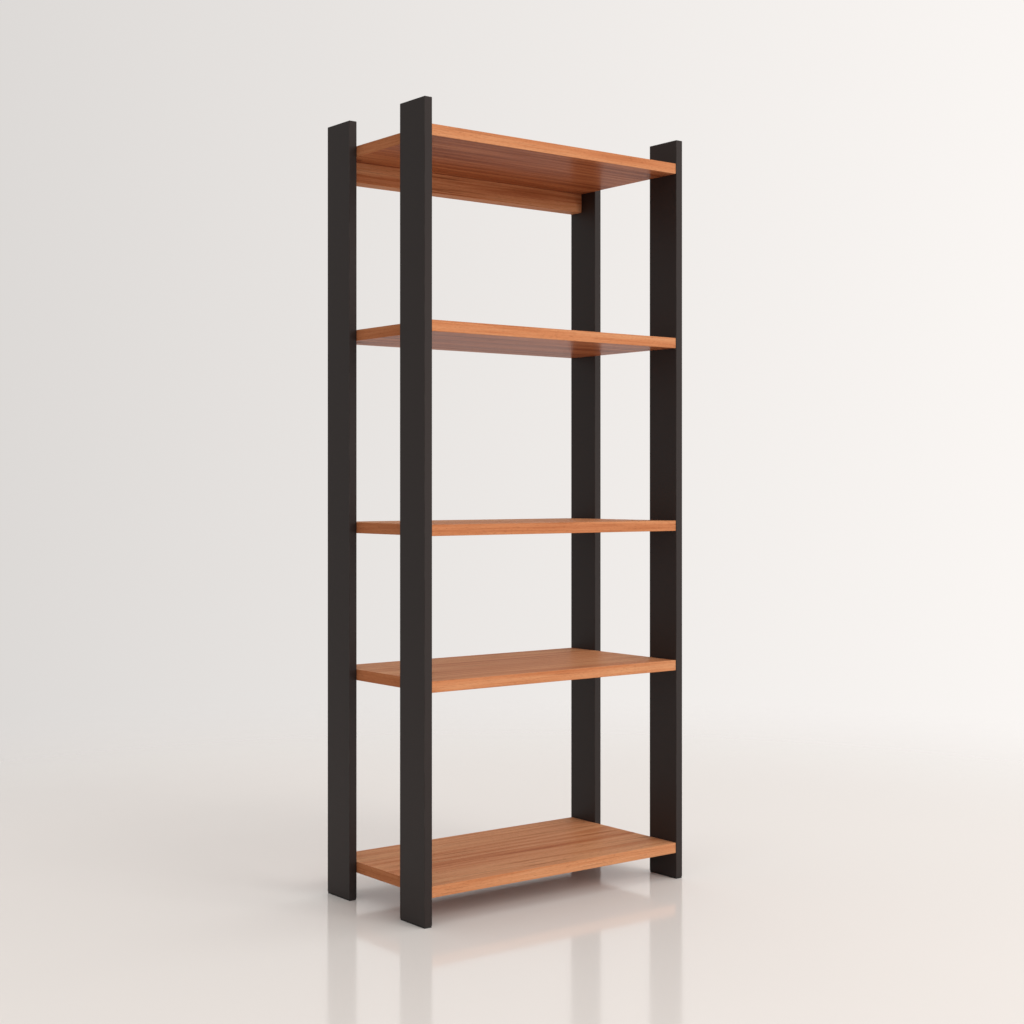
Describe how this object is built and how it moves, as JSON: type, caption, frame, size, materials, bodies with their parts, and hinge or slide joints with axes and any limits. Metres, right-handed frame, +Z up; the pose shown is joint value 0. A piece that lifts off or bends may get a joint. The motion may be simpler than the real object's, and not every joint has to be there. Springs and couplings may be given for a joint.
{
  "type": "bookcase",
  "caption": "Open bookcase with black plank uprights at its corners, fixed wood shelves between them and a wood rail under the top shelf.",
  "frame": {"origin": "on the floor, under the middle of the outline over the uprights", "axes": "+Z up; +X along the shelves, to the right seen from the front; +Y from the front to the back"},
  "size_m": [0.765, 0.4, 1.8],
  "materials": {
    "upright_black": "matt black lacquer",
    "board_wood": "satin reddish-brown veneer",
    "pad_rubber": "matt black",
    "bolt_steel": "bright zinc",
    "housing_plastic": "reddish-brown moulded plastic",
    "dowel_wood": "raw beech"
  },
  "bodies": {
    "root": {"upright_front_left": "upright_black", "foot_pad_front_left": "pad_rubber", "upright_front_right": "upright_black", "foot_pad_front_right": "pad_rubber", "upright_rear_left": "upright_black", "foot_pad_rear_left": "pad_rubber", "upright_rear_right": "upright_black", "foot_pad_rear_right": "pad_rubber", "shelf_bottom": "board_wood", "shelf_lower": "board_wood", "shelf_middle": "board_wood", "shelf_upper": "board_wood", "shelf_top": "board_wood", "back_rail": "board_wood", "connector_bolts_bottom": "bolt_steel", "connector_housings_bottom": "housing_plastic", "dowels_bottom": "dowel_wood", "connector_bolts_lower": "bolt_steel", "connector_housings_lower": "housing_plastic", "dowels_lower": "dowel_wood", "connector_bolts_middle": "bolt_steel", "connector_housings_middle": "housing_plastic", "dowels_middle": "dowel_wood", "connector_bolts_upper": "bolt_steel", "connector_housings_upper": "housing_plastic", "dowels_upper": "dowel_wood", "connector_bolts_top": "bolt_steel", "connector_housings_top": "housing_plastic", "dowels_top": "dowel_wood", "connector_bolts_rail": "bolt_steel", "connector_housings_rail": "housing_plastic", "dowels_rail": "dowel_wood"}
  },
  "joints": []
}
